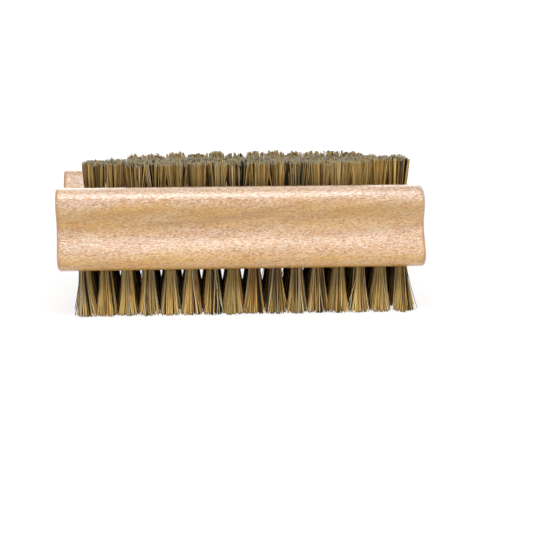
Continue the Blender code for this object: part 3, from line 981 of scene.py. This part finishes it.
class BRUSH_OT_upper_tufts(bpy.types.Operator):
    """Make the short tufts in the trough, one piece for each column"""

    bl_idname = "brush.upper_tufts"
    bl_label = "Upper Tufts"

    def execute(self, context):
        b = context.scene.brush_bristles
        floor = STOCK_HIGH.z - context.scene.brush_stock.trough_depth
        material = bristle_material(context)
        last = len(UPPER_COLUMNS) - 1
        left_lean, right_lean = -0.25 * MM, 0.3 * MM
        # Painted root shade: more in the middle columns, and in inner rows, where the tufts round them shade
        # them; less over the right third.
        middle_painted_shade, inner_painted_shade, right_light = 0.10, 0.25, 0.28
        least_drop = 0.05 * MM
        for i, node in enumerate(UPPER_COLUMNS):
            # The cut falls with the fourth power towards the left end, and the back
            # row rises over the first third of the columns. The middle columns get more
            # painted root shade, and over the last third the tufts grow lighter, warmer
            # and more even.
            along = i / last
            lean = (right_lean * (i == last) + left_lean * (i == 0), 0.0)
            crown = b.crown * max(0.0, 1.0 - 2.0 * along) ** 4
            warm = max(0.0, 3.0 * along - 2.0)
            column_root_shade = middle_painted_shade * (1.0 - abs(2.0 * along - 1.0)) - right_light * warm
            tufts = []
            places = upper_places(i, b)
            full = len(places) == UPPER_ROWS
            for row, place in enumerate(places):
                back = row == UPPER_ROWS - 1
                outer = full and (row == 0 or back)
                flare = (
                    b.upper_root_radius, b.back_tip_radius if back else b.upper_tip_radius,
                    b.upper_outer_bend if outer else b.upper_inner_bend,
                )
                rise = b.right_rise * along + b.back_rise * back * min(1.0, 3.0 * along)
                # Inner rows of full columns get painted shade on their roots, where the rows round them shade
                # them.
                tufts.append(Tuft(
                    place, lean, b.upper_count, *flare, squareness=0.5, pull=0.52, furthest=1.2,
                    trim=b.back_trim if back else b.upper_trim, dome=0.55 * MM * back,
                    drop=crown - rise + least_drop, painted_root_shade=column_root_shade + inner_painted_shade * (full and not outer),
                    grey=0.4 if back else 1.0, tone_shift=-0.02 - 0.05 * warm, tone_spread=1.2 - 0.5 * warm,
                ))
            tuft_column(
                "short_bristles_%02d" % (i + 1), node, tufts, b, floor - ROOT_DEPTH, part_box(node)[1].z,
                UPPER_PAINTED_SHADES, UPPER_SEED + i, material,
            )
        return {"FINISHED"}


def bristle_material(context):
    """The bristles' material, made once for both fields."""
    known = bpy.data.materials.get("natural_bristle")
    return known or natural_bristle(context.scene.brush_bristles)


def add_softbox(name, power, size, place, target):
    """A soft area lamp at a place, turned to a target."""
    lamp = bpy.data.lights.new(name, "AREA")
    lamp.shape = "RECTANGLE"
    lamp.size, lamp.size_y = size
    lamp.energy = power
    holder = bpy.data.objects.new(name, lamp)
    holder.visible_camera = False
    bpy.context.scene.collection.objects.link(holder)
    line = Vector(target) - Vector(place)
    holder.matrix_world = Matrix.Translation(place) @ line.to_track_quat("-Z", "Y").to_matrix().to_4x4()


class BRUSH_OT_stage(bpy.types.Operator):
    """Make the floor, the lamps, the white room and the camera"""

    bl_idname = "brush.stage"
    bl_label = "Stage"

    def execute(self, context):
        s = context.scene.brush_stage
        reach, sunk = 3.0, 0.05 * MM
        corners = np.array([[-1.0, -1.0, 0.0], [1.0, -1.0, 0.0], [1.0, 1.0, 0.0], [-1.0, 1.0, 0.0]]) * reach
        corners[:, 2] = CAD_BOX[0].z - sunk
        mesh = new_mesh("studio_floor", corners, [np.array([[0, 1, 2, 3]])])
        mesh.materials.append(studio_floor(s))
        floor = bpy.data.objects.new("studio_floor", mesh)
        context.scene.collection.objects.link(floor)

        # Each softbox: its power, its width and height, and where it hangs.
        softboxes = {
            "overhead_softbox": (s.overhead_power, (0.50, 0.24), (0.0, -0.16, 0.58)),
            "front_softbox": (s.front_power, (0.50, 0.12), (0.0, -0.40, 0.57)),
            "left_softbox": (s.side_power, (0.45, 0.36), (-0.48, -0.50, 0.13)),
            "right_softbox": (s.side_power, (0.45, 0.36), (0.48, -0.50, 0.13)),
            "rear_softbox": (s.rear_power, (0.60, 0.30), (0.0, 0.60, 0.34)),
        }
        middle = (0.0, 0.0, 0.02)
        for name, (power, size, place) in softboxes.items():
            add_softbox(name, power, size, place, middle)
        context.scene.world = white_room(s)

        camera = bpy.data.cameras.new("camera")
        camera.lens = s.lens
        camera.sensor_width = 36.0
        camera.clip_start = 0.01
        holder = bpy.data.objects.new("camera", camera)
        context.scene.collection.objects.link(holder)
        holder.matrix_world = (
            Matrix.Translation(s.camera_place) @ Matrix.Rotation(s.camera_turn, 4, "Z")
            @ Matrix.Rotation(math.pi / 2.0 - s.camera_dip, 4, "X") @ Matrix.Rotation(s.camera_roll, 4, "Z")
        )
        context.scene.camera = holder
        context.scene.view_settings.view_transform = "Standard"
        return {"FINISHED"}


class BRUSH_PT_panel(bpy.types.Panel):
    """Buttons that make the brush"""

    bl_idname = "BRUSH_PT_panel"
    bl_label = "Nail Brush"
    bl_space_type = "VIEW_3D"
    bl_region_type = "UI"
    bl_category = "Nail Brush"

    def draw(self, context):
        for operator in OPERATORS:
            self.layout.operator(operator.bl_idname)


SETTINGS = {
    "brush_stock": StockSettings,
    "brush_beech": BeechSettings,
    "brush_bristles": BristleSettings,
    "brush_stage": StageSettings,
}
OPERATORS = (BRUSH_OT_stage, BRUSH_OT_stock, BRUSH_OT_lower_tufts, BRUSH_OT_upper_tufts)
CLASSES = (*SETTINGS.values(), *OPERATORS, BRUSH_PT_panel)


def register():
    """Register the classes and give the scene its settings."""
    for cls in CLASSES:
        bpy.utils.register_class(cls)
    for name, group in SETTINGS.items():
        setattr(bpy.types.Scene, name, PointerProperty(type=group))


def unregister():
    """Take the settings and classes away again."""
    for name in SETTINGS:
        delattr(bpy.types.Scene, name)
    for cls in reversed(CLASSES):
        bpy.utils.unregister_class(cls)


def main():
    """Make the stage and every piece."""
    register()
    bpy.ops.brush.stage()
    bpy.ops.brush.stock()
    bpy.ops.brush.lower_tufts()
    bpy.ops.brush.upper_tufts()


if __name__ == "__main__":
    main()
